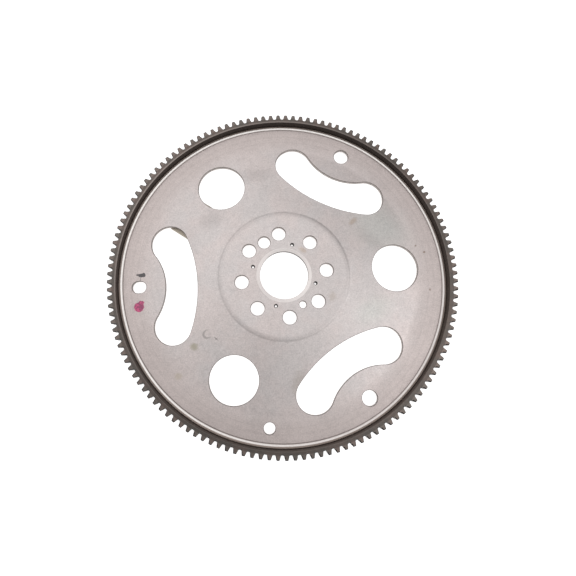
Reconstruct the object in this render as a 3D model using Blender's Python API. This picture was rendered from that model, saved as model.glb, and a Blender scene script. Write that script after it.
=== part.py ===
# Flexplate for an automatic transmission: a stamped steel plate with a welded starter ring gear.
# Run with: blender --background --python part.py
# Units are metres, +Z is up. The shaft axis is the Z axis and the flange end rests on Z = 0.
# The side that faces +Z is the engine side, with the raised hub and the bevelled ends of the teeth.

import math

import bmesh
import bpy
from mathutils import Matrix, Vector

MM = 0.001

# Ring gear: 12/14 stub teeth, with 12 to an inch of the pitch diameter and the height of 14 to an inch
TOOTH_COUNT = 135
CIRCLE_MODULE = 25.4 / 12.0 * MM
HEIGHT_MODULE = 25.4 / 14.0 * MM
PRESSURE_ANGLE = math.radians(14.5)
ROOT_CLEARANCE = 0.3 * MM
ROOT_ROUNDING = 0.8 * MM
FIRST_TOOTH_ANGLE = math.radians(-20.15)
RING_WIDTH = 10.5 * MM
RING_WALL_UNDER_TEETH = 3.27 * MM
RING_EDGE_CHAMFER = 0.6 * MM
TOOTH_LEAD_DEPTH = 1.2 * MM
TOOTH_TIP_BEVEL = 0.8 * MM
TOOTH_ROOT_BEVEL = 0.8 * MM
TOOTH_LEADING_BEVEL = 0.8 * MM
TOOTH_TRAILING_BEVEL = 0.4 * MM

# Plate: one steel sheet, drawn into a raised hub, a shallow cone, a flat rim and a turned flange
SHEET_THICKNESS = 3.0 * MM
FLANGE_STANDOUT = 1.5 * MM
HUB_BELOW_RING_FACE = 0.3 * MM
RIM_BELOW_HUB = 6.3 * MM
HUB_RADIUS = 52.0 * MM
HUB_STEP_RUN = 3.0 * MM
HUB_STEP_DROP = 0.65 * MM
HUB_EDGE_ROUNDING = 20.0 * MM
STEP_FOOT_ROUNDING = 5.0 * MM
CONE_ROUNDING = 40.0 * MM
RIM_BEND_RADIUS = 0.8 * MM
RIM_INSIDE_RADIUS = 1.0 * MM

# Bore and the coined ring around its front edge
BORE_RADIUS = 20.0 * MM
COIN_WIDTH = 2.6 * MM
COIN_DEPTH = 0.5 * MM

# Crankshaft bolt holes: eight, two of them turned so that the plate fits in one position only
CRANK_HOLE_COUNT = 8
CRANK_CIRCLE_RADIUS = 35.35 * MM
CRANK_HOLE_RADIUS = 5.75 * MM
CRANK_FIRST_ANGLE = math.radians(7.1)
CRANK_OFFSET_ANGLE = math.radians(3.1)
CRANK_OFFSET_HOLES = (3, 4)

# Sensor relief hole, halfway between two crankshaft holes
RELIEF_CIRCLE_RADIUS = 32.1 * MM
RELIEF_HOLE_RADIUS = 5.1 * MM
RELIEF_BETWEEN_HOLES = (2, 3)

# Locating pin hole and the four small tooling holes of the hub
PIN_CIRCLE_RADIUS = 28.8 * MM
PIN_HOLE_RADIUS = 2.95 * MM
PIN_ANGLE = math.radians(-58.3)
TOOLING_HOLE_COUNT = 4
TOOLING_CIRCLE_RADIUS = 26.6 * MM
TOOLING_HOLE_RADIUS = 1.35 * MM
TOOLING_FIRST_ANGLE = math.radians(75.3)

# Three torque converter bolt holes in the flat rim. One is the close one that locates: it is narrower across,
# and stretched along the radius
CONVERTER_COUNT = 3
CONVERTER_FROM_FLANGE = 17.09 * MM
CONVERTER_HOLE_RADIUS = 6.3 * MM
CONVERTER_CLOSE_RADIUS = 5.0 * MM
CONVERTER_CLOSE_STRETCH = 1.6 * MM
CONVERTER_CLOSE_HOLE = 1
CONVERTER_FIRST_ANGLE = math.radians(64.7)
RIM_INSIDE_CONVERTER_HOLES = 7.1 * MM

# Gauge hole in the rim
GAUGE_FROM_FLANGE = 14.79 * MM
GAUGE_HOLE_RADIUS = 4.7 * MM
GAUGE_ANGLE = math.radians(-95.5)

# Three round lightening holes, halfway between the converter holes
LIGHTENING_CIRCLE_RADIUS = 94.0 * MM
LIGHTENING_HOLE_RADIUS = 20.0 * MM

# Three curved slots, each wrapped around the inner side of a converter hole
SLOT_TO_CONVERTER = 22.2 * MM
SLOT_MIDDLE_WIDTH = 26.4 * MM
SLOT_INNER_ARC = 109.0 * MM
SLOT_END_RADIUS = 15.3 * MM
SLOT_END_OFFSET = 34.8 * MM

# Balance weight: a flat strip on the back of the cone, between a slot and a lightening hole
WEIGHT_LENGTH = 34.6 * MM
WEIGHT_WIDTH = 20.0 * MM
WEIGHT_THICKNESS = 2.4 * MM
WEIGHT_RADIUS = 94.5 * MM
WEIGHT_ANGLE = math.radians(147.0)
WEIGHT_EDGE = 0.4 * MM

# Weld beads between the back face of the ring gear and the flange
BEAD_COUNT = 8
BEAD_LENGTH = 32.0 * MM
BEAD_LEG = 1.7 * MM
BEAD_FULLNESS = 0.62

# Clearance between pieces that touch, and how far a cutter passes the sheet
SEAT_GAP = 0.3 * MM
CUTTER_MARGIN = 5.0 * MM

# How finely curves are divided: the most that a flat side may miss its arc, the sides of the plate,
# and the angles above which an edge is shaded sharp
FACET_ERROR = 0.07 * MM
PLATE_SEGMENTS = 72
PLATE_SHARP_ANGLE = math.radians(25.0)
RING_SHARP_ANGLE = math.radians(20.0)

# Sizes that follow from the ones above
PITCH_RADIUS = TOOTH_COUNT * CIRCLE_MODULE / 2.0
TIP_RADIUS = PITCH_RADIUS + HEIGHT_MODULE
ROOT_RADIUS = PITCH_RADIUS - HEIGHT_MODULE - ROOT_CLEARANCE
RING_BORE_RADIUS = ROOT_RADIUS - RING_WALL_UNDER_TEETH
RING_BACK_Z = FLANGE_STANDOUT
RING_FRONT_Z = RING_BACK_Z + RING_WIDTH
FLANGE_RADIUS = RING_BORE_RADIUS - SEAT_GAP
HUB_Z = RING_FRONT_Z - HUB_BELOW_RING_FACE
RIM_Z = HUB_Z - RIM_BELOW_HUB
CONVERTER_CIRCLE_RADIUS = FLANGE_RADIUS - CONVERTER_FROM_FLANGE
GAUGE_CIRCLE_RADIUS = FLANGE_RADIUS - GAUGE_FROM_FLANGE
CONE_RADIUS = CONVERTER_CIRCLE_RADIUS - RIM_INSIDE_CONVERTER_HOLES
SLOT_OUTER_RADIUS = CONVERTER_CIRCLE_RADIUS - SLOT_TO_CONVERTER
SLOT_INNER_RADIUS = SLOT_OUTER_RADIUS - SLOT_MIDDLE_WIDTH
STEP_FOOT_RADIUS = HUB_RADIUS + HUB_STEP_RUN
STEP_FOOT_Z = HUB_Z - HUB_STEP_DROP
CONE_SLOPE = math.atan2(STEP_FOOT_Z - RIM_Z, CONE_RADIUS - STEP_FOOT_RADIUS)


def clear_scene():
    for item in list(bpy.data.objects):
        bpy.data.objects.remove(item, do_unlink=True)


def make_material(name, colour, roughness, metallic=1.0):
    material = bpy.data.materials.new(name)
    material.use_nodes = True
    shader = material.node_tree.nodes["Principled BSDF"]
    shader.inputs["Base Color"].default_value = (*colour, 1.0)
    shader.inputs["Roughness"].default_value = roughness
    shader.inputs["Metallic"].default_value = metallic
    material.diffuse_color = (*colour, 1.0)
    return material


def add_object(name, mesh_data, material=None):
    bmesh.ops.recalc_face_normals(mesh_data, faces=mesh_data.faces)
    mesh = bpy.data.meshes.new(name)
    mesh_data.to_mesh(mesh)
    mesh_data.free()
    item = bpy.data.objects.new(name, mesh)
    bpy.context.scene.collection.objects.link(item)
    if material:
        mesh.materials.append(material)
    return item


def polar(radius, angle):
    return Vector((radius * math.cos(angle), radius * math.sin(angle)))


def arc_steps(radius, sweep):
    return max(1, math.ceil(abs(sweep) / (2.0 * math.acos(1.0 - FACET_ERROR / radius))))


def arc_points(centre, radius, start, end):
    steps = arc_steps(radius, end - start)
    return [Vector(centre) + polar(radius, start + (end - start) * step / steps) for step in range(steps + 1)]


def rounded_path(corners):
    """A path through (point, rounding) corners, each rounded by an arc that touches both sides."""
    path = []
    for index, (point, rounding) in enumerate(corners):
        if index in (0, len(corners) - 1):
            path.append(point)
            continue
        back = (corners[index - 1][0] - point).normalized()
        ahead = (corners[index + 1][0] - point).normalized()
        half = back.angle(ahead) / 2.0
        centre = point + (back + ahead).normalized() * rounding / math.sin(half)
        touch = rounding / math.tan(half)
        first = point + back * touch - centre
        last = point + ahead * touch - centre
        start = math.atan2(first.y, first.x)
        sweep = first.angle_signed(last)
        path.extend(arc_points(centre, rounding, start, start - sweep))
    return path


def offset_path(path, distance):
    """The path moved sideways by a distance, to the right of its direction."""
    moved = []
    for index, point in enumerate(path):
        before = (point - path[index - 1]).normalized() if index else None
        after = (path[index + 1] - point).normalized() if index < len(path) - 1 else None
        before = before or after
        after = after or before
        normals = [Vector((side.y, -side.x)) for side in (before, after)]
        middle = (normals[0] + normals[1]).normalized()
        moved.append(point + middle * distance / middle.dot(normals[0]))
    return moved


def revolved(name, profile, segments, material):
    """A closed solid turned from a closed profile of (radius, height) points."""
    mesh_data = bmesh.new()
    rings = []
    for step in range(segments):
        angle = math.tau * step / segments
        rings.append([mesh_data.verts.new((*polar(point.x, angle), point.y)) for point in profile])
    for step, ring in enumerate(rings):
        following = rings[(step + 1) % segments]
        for index in range(len(profile)):
            other = (index + 1) % len(profile)
            mesh_data.faces.new((ring[index], following[index], following[other], ring[other]))
    return add_object(name, mesh_data, material)


def prism_into(mesh_data, outline, low, high):
    """Adds an upright prism over a flat outline."""
    bottom = [mesh_data.verts.new((point.x, point.y, low)) for point in outline]
    top = [mesh_data.verts.new((point.x, point.y, high)) for point in outline]
    mesh_data.faces.new(bottom[::-1])
    mesh_data.faces.new(top)
    for index in range(len(outline)):
        other = (index + 1) % len(outline)
        mesh_data.faces.new((bottom[index], bottom[other], top[other], top[index]))


def cone_height(radius):
    """Height of the front face of the cone."""
    return STEP_FOOT_Z - math.tan(CONE_SLOPE) * (radius - STEP_FOOT_RADIUS)


def sheet_corners(rim_rounding):
    """Corners of the sheet's front face from the bore to the end of the flange, each with its rounding."""
    return [
        (Vector((BORE_RADIUS, HUB_Z)), 0.0),
        (Vector((HUB_RADIUS, HUB_Z)), HUB_EDGE_ROUNDING),
        (Vector((STEP_FOOT_RADIUS, STEP_FOOT_Z)), STEP_FOOT_ROUNDING),
        (Vector((CONE_RADIUS, RIM_Z)), CONE_ROUNDING),
        (Vector((FLANGE_RADIUS, RIM_Z)), rim_rounding),
        (Vector((FLANGE_RADIUS, 0.0)), 0.0),
    ]


def plate_profile():
    """Section of the plate. The rim's outer corner is pressed nearly sharp, so its inside has its own radius."""
    front = rounded_path(sheet_corners(RIM_BEND_RADIUS))
    corners = sheet_corners(RIM_INSIDE_RADIUS)
    inside = offset_path([point for point, rounding in corners], SHEET_THICKNESS)
    back = rounded_path([(point, rounding) for point, (_, rounding) in zip(inside, corners)])
    coin = [Vector((BORE_RADIUS, HUB_Z - COIN_DEPTH)), Vector((BORE_RADIUS + COIN_WIDTH, HUB_Z))]
    return back + (coin + front[1:])[::-1]


def crank_angle(index):
    turned = CRANK_OFFSET_ANGLE if index in CRANK_OFFSET_HOLES else 0.0
    return CRANK_FIRST_ANGLE + math.tau * index / CRANK_HOLE_COUNT + turned


def relief_angle():
    return sum(crank_angle(index) for index in RELIEF_BETWEEN_HOLES) / len(RELIEF_BETWEEN_HOLES)


def converter_angle(index):
    return CONVERTER_FIRST_ANGLE + math.tau * index / CONVERTER_COUNT


def round_holes():
    """Every round hole of the plate, as (radius of its circle, angle, hole radius)."""
    holes = []
    for index in range(CRANK_HOLE_COUNT):
        holes.append((CRANK_CIRCLE_RADIUS, crank_angle(index), CRANK_HOLE_RADIUS))
    holes.append((RELIEF_CIRCLE_RADIUS, relief_angle(), RELIEF_HOLE_RADIUS))
    holes.append((PIN_CIRCLE_RADIUS, PIN_ANGLE, PIN_HOLE_RADIUS))
    for index in range(TOOLING_HOLE_COUNT):
        angle = TOOLING_FIRST_ANGLE + math.tau * index / TOOLING_HOLE_COUNT
        holes.append((TOOLING_CIRCLE_RADIUS, angle, TOOLING_HOLE_RADIUS))
    for index in range(CONVERTER_COUNT):
        angle = converter_angle(index)
        if index != CONVERTER_CLOSE_HOLE:
            holes.append((CONVERTER_CIRCLE_RADIUS, angle, CONVERTER_HOLE_RADIUS))
        between = angle + math.pi / CONVERTER_COUNT
        holes.append((LIGHTENING_CIRCLE_RADIUS, between, LIGHTENING_HOLE_RADIUS))
    holes.append((GAUGE_CIRCLE_RADIUS, GAUGE_ANGLE, GAUGE_HOLE_RADIUS))
    return holes


def close_hole_outline():
    """The close converter hole on the +X axis: two round ends and two straight sides along the radius."""
    quarter = math.pi / 2.0
    half = CONVERTER_CLOSE_STRETCH / 2.0
    outer = arc_points((CONVERTER_CIRCLE_RADIUS + half, 0.0), CONVERTER_CLOSE_RADIUS, -quarter, quarter)
    inner = arc_points((CONVERTER_CIRCLE_RADIUS - half, 0.0), CONVERTER_CLOSE_RADIUS, quarter, 3.0 * quarter)
    return outer + inner


def slot_outline():
    """The slot with its middle on the +X axis: an inner arc, two round ends and a hollow outer arc."""
    inner_centre = SLOT_INNER_RADIUS + SLOT_INNER_ARC
    end_x = inner_centre - math.sqrt((SLOT_INNER_ARC - SLOT_END_RADIUS) ** 2 - SLOT_END_OFFSET ** 2)
    reach = SLOT_OUTER_RADIUS - end_x
    outer_arc = (SLOT_END_OFFSET ** 2 + reach ** 2 - SLOT_END_RADIUS ** 2) / (2.0 * (SLOT_END_RADIUS - reach))
    outer_centre = SLOT_OUTER_RADIUS + outer_arc
    inner_half = math.atan2(SLOT_END_OFFSET, inner_centre - end_x)
    outer_half = math.atan2(SLOT_END_OFFSET, outer_centre - end_x)
    inner = arc_points((inner_centre, 0.0), SLOT_INNER_ARC, math.pi + inner_half, math.pi - inner_half)
    end = arc_points((end_x, SLOT_END_OFFSET), SLOT_END_RADIUS, math.pi - inner_half, -outer_half)
    outer = arc_points((outer_centre, 0.0), outer_arc, math.pi - outer_half, math.pi + outer_half)
    other_end = [Vector((point.x, -point.y)) for point in reversed(end)]
    return inner[:-1] + end[:-1] + outer[:-1] + other_end[:-1]


def plate_cutter():
    """One cutter that holds every hole and every slot."""
    mesh_data = bmesh.new()
    low = -CUTTER_MARGIN
    high = HUB_Z + CUTTER_MARGIN
    for circle, angle, radius in round_holes():
        outline = arc_points(polar(circle, angle), radius, 0.0, math.tau)
        prism_into(mesh_data, outline[:-1], low, high)
    turn = Matrix.Rotation(converter_angle(CONVERTER_CLOSE_HOLE), 2)
    prism_into(mesh_data, [turn @ point for point in close_hole_outline()], low, high)
    for index in range(CONVERTER_COUNT):
        turn = Matrix.Rotation(converter_angle(index), 2)
        prism_into(mesh_data, [turn @ point for point in slot_outline()], low, high)
    cutter = add_object("plate_cutter", mesh_data)
    cutter.hide_render = True
    cutter.display_type = "WIRE"
    return cutter


def build_plate(material):
    plate = revolved("plate", plate_profile(), PLATE_SEGMENTS, material)
    cut = plate.modifiers.new("holes and slots", "BOOLEAN")
    cut.operation = "DIFFERENCE"
    cut.solver = "EXACT"
    cut.object = plate_cutter()
    return plate


def involute(angle):
    return math.tan(angle) - angle


def tooth_half_angle(radius):
    """Half the angle that a tooth fills at a radius, for an involute flank."""
    base_radius = PITCH_RADIUS * math.cos(PRESSURE_ANGLE)
    roll = math.acos(base_radius / radius)
    return math.pi / (2.0 * TOOTH_COUNT) + involute(PRESSURE_ANGLE) - involute(roll)


def tooth_outline(leading, trailing, tip, root):
    """One tooth as (radius, angle from its middle) points, from the gap on its clockwise side onwards.

    Its sides, its tip and the gap's floor stand back by the four bevels.
    """
    tip_radius = TIP_RADIUS - tip
    flank_start = ROOT_RADIUS + ROOT_ROUNDING
    half_tip = tooth_half_angle(tip_radius)
    half_foot = tooth_half_angle(flank_start)
    half_root = tooth_half_angle(ROOT_RADIUS) + ROOT_ROUNDING / ROOT_RADIUS
    return [
        (ROOT_RADIUS - root, leading / ROOT_RADIUS - half_root),
        (flank_start, leading / flank_start - half_foot),
        (tip_radius, leading / tip_radius - half_tip),
        (tip_radius, half_tip - trailing / tip_radius),
        (flank_start, half_foot - trailing / flank_start),
        (ROOT_RADIUS - root, half_root - trailing / ROOT_RADIUS),
    ]


def gear_loops(mesh_data, outline, height):
    """All teeth at one height, as a list of vertices for each tooth."""
    teeth = []
    for index in range(TOOTH_COUNT):
        middle = FIRST_TOOTH_ANGLE + math.tau * index / TOOTH_COUNT
        places = [(*polar(radius, middle + angle), height) for radius, angle in outline]
        teeth.append([mesh_data.verts.new(place) for place in places])
    return teeth


def circle_loop(mesh_data, radius, height):
    """One vertex under the gap before each tooth."""
    step = math.tau / TOOTH_COUNT
    start = FIRST_TOOTH_ANGLE - step / 2.0
    places = [(*polar(radius, start + step * index), height) for index in range(TOOTH_COUNT)]
    return [mesh_data.verts.new(place) for place in places]


def bridge(mesh_data, lower, upper):
    """Side faces between two closed loops of the same length."""
    for index in range(len(lower)):
        other = (index + 1) % len(lower)
        mesh_data.faces.new((lower[index], lower[other], upper[other], upper[index]))


def end_faces(mesh_data, teeth, circle):
    """The flat end of the ring: one face for each tooth and the wall under it."""
    for index, tooth in enumerate(teeth):
        other = (index + 1) % len(teeth)
        mesh_data.faces.new((circle[index], *tooth, teeth[other][0], circle[other]))


def build_ring_gear(material):
    mesh_data = bmesh.new()
    lead_z = RING_FRONT_Z - TOOTH_LEAD_DEPTH
    full = tooth_outline(0.0, 0.0, 0.0, 0.0)
    bevelled = tooth_outline(TOOTH_LEADING_BEVEL, TOOTH_TRAILING_BEVEL, TOOTH_TIP_BEVEL, TOOTH_ROOT_BEVEL)
    back = gear_loops(mesh_data, full, RING_BACK_Z)
    lead = gear_loops(mesh_data, full, lead_z)
    front = gear_loops(mesh_data, bevelled, RING_FRONT_Z)
    loops = [[vertex for tooth in teeth for vertex in tooth] for teeth in (back, lead, front)]
    bridge(mesh_data, loops[0], loops[1])
    bridge(mesh_data, loops[1], loops[2])
    chamfer_radius = RING_BORE_RADIUS + RING_EDGE_CHAMFER
    bore = [
        circle_loop(mesh_data, chamfer_radius, RING_FRONT_Z),
        circle_loop(mesh_data, RING_BORE_RADIUS, RING_FRONT_Z - RING_EDGE_CHAMFER),
        circle_loop(mesh_data, RING_BORE_RADIUS, RING_BACK_Z),
    ]
    bridge(mesh_data, bore[0], bore[1])
    bridge(mesh_data, bore[1], bore[2])
    end_faces(mesh_data, front, bore[0])
    end_faces(mesh_data, back, bore[2])
    return add_object("ring_gear", mesh_data, material)


def build_weight(material):
    """A flat strip that lies along the slope of the cone, a seat gap under its back face."""
    mesh_data = bmesh.new()
    bmesh.ops.create_cube(mesh_data, size=1.0)
    bmesh.ops.scale(mesh_data, vec=(WEIGHT_WIDTH, WEIGHT_LENGTH, WEIGHT_THICKNESS), verts=mesh_data.verts)
    bmesh.ops.bevel(mesh_data, geom=mesh_data.edges[:], offset=WEIGHT_EDGE, segments=1, affect="EDGES")
    weight = add_object("balance_weight", mesh_data, material)
    # The strip is flat and the cone is round, so its corners reach a larger radius, where the cone is lower
    corner_radius = math.hypot(WEIGHT_RADIUS, WEIGHT_LENGTH / 2.0)
    sag = math.tan(CONE_SLOPE) * (corner_radius - WEIGHT_RADIUS)
    depth = SHEET_THICKNESS + SEAT_GAP + sag + WEIGHT_THICKNESS / 2.0
    inward = depth * math.sin(CONE_SLOPE)
    height = cone_height(WEIGHT_RADIUS) - depth * math.cos(CONE_SLOPE)
    weight.location = (*polar(WEIGHT_RADIUS - inward, WEIGHT_ANGLE), height)
    weight.rotation_euler = (0.0, CONE_SLOPE, WEIGHT_ANGLE)
    return weight


def bead_section():
    """Section of a weld bead in the corner of flange and ring gear, as (radius, height) points."""
    corner_radius = FLANGE_RADIUS + SEAT_GAP
    corner_z = RING_BACK_Z - SEAT_GAP
    drop = min(BEAD_LEG, corner_z - SEAT_GAP)
    return [
        (corner_radius, corner_z),
        (corner_radius, corner_z - drop),
        (corner_radius + BEAD_LEG * BEAD_FULLNESS, corner_z - drop * BEAD_FULLNESS),
        (corner_radius + BEAD_LEG, corner_z),
    ]


def bead_mesh(material):
    """One weld bead, centred on the +X axis."""
    mesh_data = bmesh.new()
    sweep = BEAD_LENGTH / FLANGE_RADIUS
    steps = arc_steps(FLANGE_RADIUS, sweep)
    rings = []
    for step in range(steps + 1):
        angle = sweep * (step / steps - 0.5)
        places = [(*polar(radius, angle), height) for radius, height in bead_section()]
        rings.append([mesh_data.verts.new(place) for place in places])
    for lower, upper in zip(rings, rings[1:]):
        bridge(mesh_data, lower, upper)
    mesh_data.faces.new(rings[0])
    mesh_data.faces.new(rings[-1][::-1])
    return add_object("ring_weld_01", mesh_data, material)


def build_beads(material):
    first = bead_mesh(material)
    for index in range(1, BEAD_COUNT):
        bead = bpy.data.objects.new(f"ring_weld_{index + 1:02d}", first.data)
        bead.rotation_euler.z = math.tau * index / BEAD_COUNT
        bpy.context.scene.collection.objects.link(bead)


def shade_round(item, angle):
    item.data.shade_smooth()
    item.data.set_sharp_from_angle(angle=angle)


def build_flexplate():
    clear_scene()
    plate = build_plate(make_material("satin plate steel", (0.56, 0.52, 0.50), 0.42))
    ring_gear = build_ring_gear(make_material("dark gear steel", (0.11, 0.095, 0.085), 0.5))
    build_weight(make_material("weight steel", (0.42, 0.38, 0.33), 0.5))
    build_beads(make_material("weld steel", (0.16, 0.15, 0.14), 0.55))
    shade_round(plate, PLATE_SHARP_ANGLE)
    shade_round(ring_gear, RING_SHARP_ANGLE)


build_flexplate()
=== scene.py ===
import math

import bmesh
import bpy
import numpy as np
from mathutils import Matrix, Vector
from mathutils.geometry import delaunay_2d_cdt


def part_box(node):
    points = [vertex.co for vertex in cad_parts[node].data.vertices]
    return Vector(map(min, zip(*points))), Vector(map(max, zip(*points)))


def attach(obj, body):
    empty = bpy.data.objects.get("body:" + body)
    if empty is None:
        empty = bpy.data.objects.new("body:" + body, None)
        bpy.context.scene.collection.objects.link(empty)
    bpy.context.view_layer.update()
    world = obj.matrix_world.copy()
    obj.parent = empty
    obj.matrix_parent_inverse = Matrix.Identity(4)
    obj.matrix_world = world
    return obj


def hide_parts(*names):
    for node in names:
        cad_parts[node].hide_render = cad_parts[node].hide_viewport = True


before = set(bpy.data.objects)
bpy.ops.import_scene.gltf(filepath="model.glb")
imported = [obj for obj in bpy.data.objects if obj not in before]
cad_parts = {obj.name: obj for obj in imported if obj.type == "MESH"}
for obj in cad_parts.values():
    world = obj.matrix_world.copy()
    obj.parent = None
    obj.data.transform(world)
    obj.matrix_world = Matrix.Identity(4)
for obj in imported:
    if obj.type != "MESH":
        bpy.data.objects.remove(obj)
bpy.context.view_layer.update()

MM = 0.001

# Heights taken from the frame
RING_LOW, RING_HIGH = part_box("ring_gear")
RING_BACK_Z = RING_LOW.z
RING_FRONT_Z = RING_HIGH.z
HUB_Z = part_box("plate")[1].z

# Ring gear teeth
TOOTH_COUNT = 135
CIRCLE_MODULE = 25.4 / 12.0 * MM
HEIGHT_MODULE = 25.4 / 14.0 * MM
PRESSURE_ANGLE = math.radians(14.5)
ROOT_CLEARANCE = 0.3 * MM
FIRST_TOOTH_ANGLE = math.radians(-20.15)
RING_WALL_UNDER_TEETH = 3.27 * MM
RING_EDGE_CHAMFER = 0.6 * MM
TOOTH_LEAD_DEPTH = 1.2 * MM
TOOTH_TIP_BEVEL = 0.8 * MM
TOOTH_ROOT_BEVEL = 0.8 * MM
TOOTH_LEADING_BEVEL = 0.8 * MM
TOOTH_TRAILING_BEVEL = 0.4 * MM
TOOTH_EDGE_BREAK = 0.25 * MM
FRONT_EDGE_BREAK = 0.1 * MM
TOOTH_CORNER_ROUND = 0.3 * MM
# Middle of a tooth's rounded corner, below the tip and in from the flank, in shares of the rounding
CORNER_MIDDLE = (0.3, 0.25)
ROOT_ROUNDING = 0.9 * MM
ROOT_STEPS = 4
FLANK_STEPS = 5
BORE_SIDES_PER_TOOTH = 4
RING_SHARP_ANGLE = math.radians(28.0)

# Sheet metal of the plate
SHEET_THICKNESS = 3.0 * MM
RIM_BELOW_HUB = 6.3 * MM
HUB_RADIUS = 52.0 * MM
HUB_STEP_RUN = 3.0 * MM
HUB_STEP_DROP = 0.65 * MM
HUB_EDGE_ROUNDING = 20.0 * MM
STEP_FOOT_ROUNDING = 5.0 * MM
CONE_ROUNDING = 40.0 * MM
RIM_BEND_RADIUS = 0.5 * MM
RIM_INSIDE_RADIUS = 1.0 * MM
SEAT_GAP = 0.3 * MM
BORE_RADIUS = 20.0 * MM
COIN_WIDTH = 2.6 * MM
COIN_DEPTH = 0.5 * MM
FIELD_FROM_COIN = 0.3 * MM
COIN_EASE = 0.25 * MM
EDGE_ROLL = 0.35 * MM
BACK_EDGE_BREAK = 0.15 * MM
BACK_EDGE_LEAN = 0.3
GROOVE_INSIDE_FLANGE = 3.75 * MM
GROOVE_WIDTH = 0.45 * MM
GROOVE_DEPTH = 0.18 * MM
GROOVE_STEPS = 8
BAND_INSIDE_FLANGE = 2.45 * MM
BAND_WIDTH = 1.25 * MM
BAND_RISE = 0.2 * MM
BAND_EASE = 0.1 * MM

# Holes of the plate
CRANK_HOLE_COUNT = 8
CRANK_CIRCLE_RADIUS = 35.35 * MM
CRANK_HOLE_RADIUS = 5.75 * MM
CRANK_FIRST_ANGLE = math.radians(7.1)
CRANK_OFFSET_ANGLE = math.radians(3.1)
CRANK_OFFSET_HOLES = (3, 4)
RELIEF_CIRCLE_RADIUS = 32.1 * MM
RELIEF_HOLE_RADIUS = 5.1 * MM
RELIEF_BETWEEN_HOLES = (2, 3)
PIN_CIRCLE_RADIUS = 28.8 * MM
PIN_HOLE_RADIUS = 2.95 * MM
PIN_ANGLE = math.radians(-58.3)
TOOLING_HOLE_COUNT = 4
TOOLING_CIRCLE_RADIUS = 26.6 * MM
TOOLING_HOLE_RADIUS = 1.35 * MM
TOOLING_TAPER = 0.5 * MM
TOOLING_FIRST_ANGLE = math.radians(75.3)
CONVERTER_COUNT = 3
CONVERTER_FROM_FLANGE = 17.09 * MM
CONVERTER_HOLE_RADIUS = 6.3 * MM
CONVERTER_CLOSE_RADIUS = 5.0 * MM
CONVERTER_CLOSE_STRETCH = 1.6 * MM
CONVERTER_CLOSE_HOLE = 1
CONVERTER_FIRST_ANGLE = math.radians(64.7)
RIM_INSIDE_CONVERTER_HOLES = 7.1 * MM
GAUGE_FROM_FLANGE = 14.79 * MM
GAUGE_HOLE_RADIUS = 4.7 * MM
GAUGE_ANGLE = math.radians(-95.5)
LIGHTENING_CIRCLE_RADIUS = 94.0 * MM
LIGHTENING_HOLE_RADIUS = 20.0 * MM
SLOT_TO_CONVERTER = 22.2 * MM
SLOT_MIDDLE_WIDTH = 26.4 * MM
SLOT_INNER_ARC = 109.0 * MM
SLOT_END_RADIUS = 15.3 * MM
SLOT_END_OFFSET = 34.8 * MM

# Weight and weld beads on the back
WEIGHT_LENGTH = 34.6 * MM
WEIGHT_WIDTH = 20.0 * MM
WEIGHT_THICKNESS = 2.4 * MM
WEIGHT_RADIUS = 94.5 * MM
WEIGHT_ANGLE = math.radians(147.0)
WEIGHT_EDGE = 0.5 * MM
WEIGHT_EDGE_SEGMENTS = 4
BEAD_COUNT = 8
BEAD_LENGTH = 32.0 * MM
BEAD_LEG = 1.7 * MM
BEAD_RIPPLE = 1.6 * MM
BEAD_RIPPLE_DEPTH = 0.14
BEAD_HOLLOW = 0.12
BEAD_END_SHARE = 0.06
BEAD_END_SIZE = 0.25
BEAD_SHARP_ANGLE = math.radians(50.0)
BEAD_STEPS = 96
BEAD_SIDES = 6

# Sizes that follow
PITCH_RADIUS = TOOTH_COUNT * CIRCLE_MODULE / 2.0
TIP_RADIUS = PITCH_RADIUS + HEIGHT_MODULE
ROOT_RADIUS = PITCH_RADIUS - HEIGHT_MODULE - ROOT_CLEARANCE
BASE_RADIUS = PITCH_RADIUS * math.cos(PRESSURE_ANGLE)
RING_BORE_RADIUS = ROOT_RADIUS - RING_WALL_UNDER_TEETH
FLANGE_RADIUS = RING_BORE_RADIUS - SEAT_GAP
RIM_Z = HUB_Z - RIM_BELOW_HUB
CONVERTER_CIRCLE_RADIUS = FLANGE_RADIUS - CONVERTER_FROM_FLANGE
GAUGE_CIRCLE_RADIUS = FLANGE_RADIUS - GAUGE_FROM_FLANGE
CONE_RADIUS = CONVERTER_CIRCLE_RADIUS - RIM_INSIDE_CONVERTER_HOLES
SLOT_OUTER_RADIUS = CONVERTER_CIRCLE_RADIUS - SLOT_TO_CONVERTER
SLOT_INNER_RADIUS = SLOT_OUTER_RADIUS - SLOT_MIDDLE_WIDTH
STEP_FOOT_RADIUS = HUB_RADIUS + HUB_STEP_RUN
STEP_FOOT_Z = HUB_Z - HUB_STEP_DROP
CONE_SLOPE = math.atan2(STEP_FOOT_Z - RIM_Z, CONE_RADIUS - STEP_FOOT_RADIUS)
GROOVE_RADIUS = FLANGE_RADIUS - GROOVE_INSIDE_FLANGE
BAND_RADIUS = FLANGE_RADIUS - BAND_INSIDE_FLANGE
FIELD_INNER_RADIUS = BORE_RADIUS + COIN_WIDTH + FIELD_FROM_COIN
FIELD_OUTER_RADIUS = 131.0 * MM

# How finely the plate's surface is divided
TURN_SIDES = 360
HOLE_SIDE_LENGTH = 0.6 * MM
FIELD_SPACING = 4.0 * MM
FIELD_CLEARANCE = 1.0 * MM
FIELD_PRECISION = 1e-9
ROLL_STEPS = 4
ARC_STEPS = 8
LEAST_HOLE_STEPS = 6

# Materials of the plate's and the ring's faces, by their places in the lists
PLATE_FACE, CUT_WALL, ROLLED_EDGE = range(3)
GEAR_FACE, GEAR_BORE, TOOTH_BEVEL, TOOTH_FLANK = range(4)
# Strips of the teeth from the back up: broken edge, flank, bevel, broken edge
TOOTH_STRIPS = (TOOTH_FLANK, TOOTH_FLANK, TOOTH_BEVEL, GEAR_FACE)


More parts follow.
